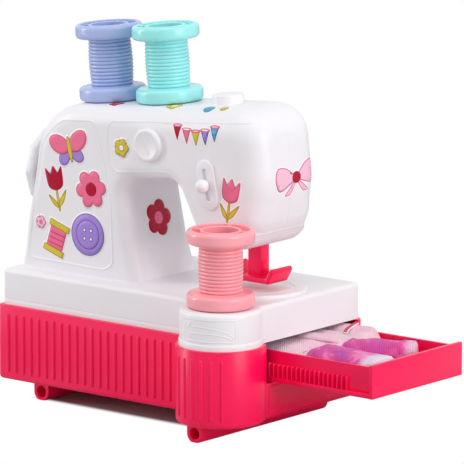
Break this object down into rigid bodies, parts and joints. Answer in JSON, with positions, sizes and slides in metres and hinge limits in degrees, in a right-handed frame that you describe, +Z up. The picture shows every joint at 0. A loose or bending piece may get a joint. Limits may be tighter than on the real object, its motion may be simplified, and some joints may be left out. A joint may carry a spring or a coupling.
{
  "type": "toy sewing machine",
  "caption": "Toy sewing machine on a ribbed base: reels on the arm, a reel on the corner tower that drives a geared drawer, a sprung presser foot, a dial and a handwheel",
  "frame": {"origin": "Bottom centre of the toy's box with the drawer open: on the table, midway along and across.", "axes": "+Z up; +X along the machine from the handwheel end to the open drawer; -Y is the front with the dial and the corner tower."},
  "size_m": [0.255, 0.1276, 0.2171],
  "materials": {
    "white_shell": "gloss",
    "inner_white": "satin",
    "hot_pink": "gloss",
    "soft_pink": "gloss",
    "lavender": "gloss",
    "turquoise": "gloss",
    "steel": "satin",
    "knit": "matte",
    "tie_dye": "matte"
  },
  "bodies": {
    "machine": {"base_tray": "hot_pink", "foot_rail_left": "hot_pink", "foot_rail_right": "hot_pink", "drawer_rail_front": "hot_pink", "drawer_rail_back": "hot_pink", "deck_cover": "white_shell", "needle_plate": "white_shell", "body_front_shell": "white_shell", "body_rear_shell": "white_shell", "reel_post_left": "inner_white", "reel_post_right": "inner_white", "handwheel_bush": "inner_white", "presser_guide": "inner_white", "presser_spring": "steel", "take_up_guide": "white_shell", "base_screws": "steel", "deck_screws": "steel", "body_screws": "steel", "foot_screws": "steel"},
    "wheel": {"handwheel": "white_shell", "handwheel_shaft": "steel", "handwheel_clip": "steel"},
    "tray_drawer": {"drawer": "hot_pink", "drawer_rack": "hot_pink", "garment_body": "knit", "garment_leg_near": "tie_dye", "garment_leg_far": "tie_dye"},
    "drive": {"drive_reel": "soft_pink", "drive_shaft": "inner_white", "drive_pinion": "inner_white", "drive_clip": "steel"},
    "lavender": {"reel_lavender": "lavender"},
    "turquoise": {"reel_turquoise": "turquoise"},
    "presser": {"press_button": "white_shell", "presser_plunger": "hot_pink", "presser_bar": "hot_pink", "presser_foot": "hot_pink"},
    "dial": {"stitch_dial": "white_shell", "dial_clip": "steel"},
    "take_up": {"take_up_knob": "white_shell", "take_up_slider": "steel"}
  },
  "joints": [
    {"name": "drawer_slide", "type": "slide", "parent": "machine", "child": "tray_drawer", "axis": [1, 0, 0], "range_m": [-0.0682, 0]},
    {"name": "drive_turn", "type": "hinge", "parent": "machine", "child": "drive", "pos_m": [0.0365, -0.03842, 0.0737], "axis": [0, 0, 1], "range_deg": [0, 206.16]},
    {"name": "handwheel_turn", "type": "hinge", "parent": "machine", "child": "wheel", "pos_m": [-0.1255, 0.00828, 0.126], "axis": [1, 0, 0], "continuous": true},
    {"name": "lavender_spin", "type": "hinge", "parent": "machine", "child": "lavender", "pos_m": [-0.0791, 0.00828, 0.16904], "axis": [-0.0837, 0, 0.9965], "continuous": true},
    {"name": "turquoise_spin", "type": "hinge", "parent": "machine", "child": "turquoise", "pos_m": [-0.0379, 0.00828, 0.1725], "axis": [-0.0837, 0, 0.9965], "continuous": true},
    {"name": "presser_press", "type": "slide", "parent": "machine", "child": "presser", "axis": [0, 0, 1], "range_m": [-0.0035, 0], "stiffness_N_per_m": 300, "springref_m": 0.002, "deforming": ["presser_spring"]},
    {"name": "dial_turn", "type": "hinge", "parent": "machine", "child": "dial", "pos_m": [-0.0305, -0.01922, 0.1526], "axis": [0, 1, 0], "range_deg": [-150, 150]},
    {"name": "take_up_slide", "type": "slide", "parent": "machine", "child": "take_up", "axis": [-0.2079, 0, 0.9781], "range_m": [-0.007, 0.007]}
  ],
  "couplings": [
    {"joint": "drive_turn", "follows": "drawer_slide", "rad_per_m": -52.632}
  ]
}
